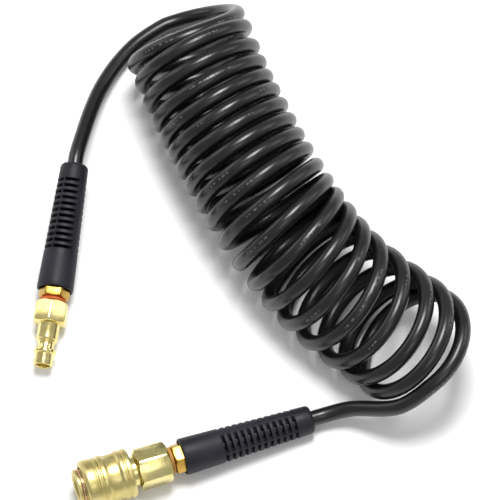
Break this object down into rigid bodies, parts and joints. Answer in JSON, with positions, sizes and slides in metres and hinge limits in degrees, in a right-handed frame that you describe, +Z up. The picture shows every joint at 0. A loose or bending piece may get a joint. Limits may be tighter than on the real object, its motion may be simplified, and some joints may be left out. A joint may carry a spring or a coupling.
{
  "type": "coiled air hose",
  "caption": "Coiled polyurethane air hose with bend restrictors, a swivelling quick plug on one end and a swivelling quick coupler with a pull-back sleeve on the other.",
  "frame": {"origin": "on the floor, under the middle of the box round the two end fittings with their bend restrictors", "axes": "+Z up from the floor; -X the way the coupler mouth points; +Y from the coupler end of the coil to its plug end"},
  "size_m": [0.213, 0.2619, 0.0661],
  "materials": {
    "polyurethane": "gloss",
    "restrictor_rubber": "matte",
    "pale_brass": "polished",
    "satin_brass": "satin",
    "warm_brass": "satin",
    "copper_wire": "satin",
    "bright_steel": "satin",
    "nitrile": "matte",
    "orange_seal": "satin"
  },
  "bodies": {
    "hose": {"hose_coil": "polyurethane", "hose_tail_plug": "polyurethane", "hose_tail_coupler": "polyurethane", "plug_bend_restrictor": "restrictor_rubber", "plug_hose_barb": "warm_brass", "plug_ferrule": "warm_brass", "coupler_bend_restrictor": "restrictor_rubber", "coupler_hose_barb": "warm_brass", "coupler_ferrule": "warm_brass"},
    "plug": {"plug_swivel_nut": "warm_brass", "plug_swivel_clip": "bright_steel", "plug_swivel_seal": "nitrile", "plug_thread_seal": "orange_seal", "plug_nipple": "pale_brass"},
    "coupler_body": {"coupler_swivel_nut": "warm_brass", "coupler_swivel_clip": "bright_steel", "coupler_swivel_seal": "nitrile", "coupler_thread_seal": "orange_seal", "coupler_rear_body": "pale_brass", "coupler_body_seal": "nitrile", "coupler_front_body": "satin_brass", "coupler_sleeve_spring": "bright_steel", "coupler_snap_ring": "copper_wire", "coupler_plug_seal": "nitrile", "coupler_valve_spring": "bright_steel"},
    "sleeve": {"coupler_sleeve": "satin_brass"},
    "valve": {"coupler_valve": "pale_brass", "coupler_valve_seal": "nitrile"},
    "ball_1": {"locking_ball_1": "bright_steel"},
    "ball_2": {"locking_ball_2": "bright_steel"},
    "ball_3": {"locking_ball_3": "bright_steel"},
    "ball_4": {"locking_ball_4": "bright_steel"}
  },
  "joints": [
    {"name": "plug_swivel", "type": "hinge", "parent": "hose", "child": "plug", "pos_m": [-0.03919, 0.02754, 0.01049], "axis": [-0.4476, -0.89, -0.0872], "continuous": true},
    {"name": "coupler_swivel", "type": "hinge", "parent": "hose", "child": "coupler_body", "pos_m": [-0.00789, -0.0793, 0.0112], "axis": [-0.9983, 0, 0.0581], "continuous": true},
    {"name": "sleeve_slide", "type": "slide", "parent": "coupler_body", "child": "sleeve", "axis": [0.9983, 0, -0.0581], "range_m": [0, 0.004], "stiffness_N_per_m": 2500, "springref_m": -0.003, "deforming": ["coupler_sleeve_spring"]},
    {"name": "valve_slide", "type": "slide", "parent": "coupler_body", "child": "valve", "axis": [0.9983, 0, -0.0581], "range_m": [0, 0.005], "stiffness_N_per_m": 900, "springref_m": -0.004, "deforming": ["coupler_valve_spring"]},
    {"name": "ball_1_slide", "type": "slide", "parent": "coupler_body", "child": "ball_1", "axis": [0.0411, -0.7071, 0.7059], "range_m": [0, 0.0009]},
    {"name": "ball_2_slide", "type": "slide", "parent": "coupler_body", "child": "ball_2", "axis": [0.0411, 0.7071, 0.7059], "range_m": [0, 0.0009]},
    {"name": "ball_3_slide", "type": "slide", "parent": "coupler_body", "child": "ball_3", "axis": [-0.0411, 0.7071, -0.7059], "range_m": [0, 0.0009]},
    {"name": "ball_4_slide", "type": "slide", "parent": "coupler_body", "child": "ball_4", "axis": [-0.0411, -0.7071, -0.7059], "range_m": [0, 0.0009]}
  ],
  "couplings": [
    {"joint": "ball_1_slide", "follows": "sleeve_slide", "ratio": 0.225},
    {"joint": "ball_2_slide", "follows": "sleeve_slide", "ratio": 0.225},
    {"joint": "ball_3_slide", "follows": "sleeve_slide", "ratio": 0.225},
    {"joint": "ball_4_slide", "follows": "sleeve_slide", "ratio": 0.225}
  ]
}
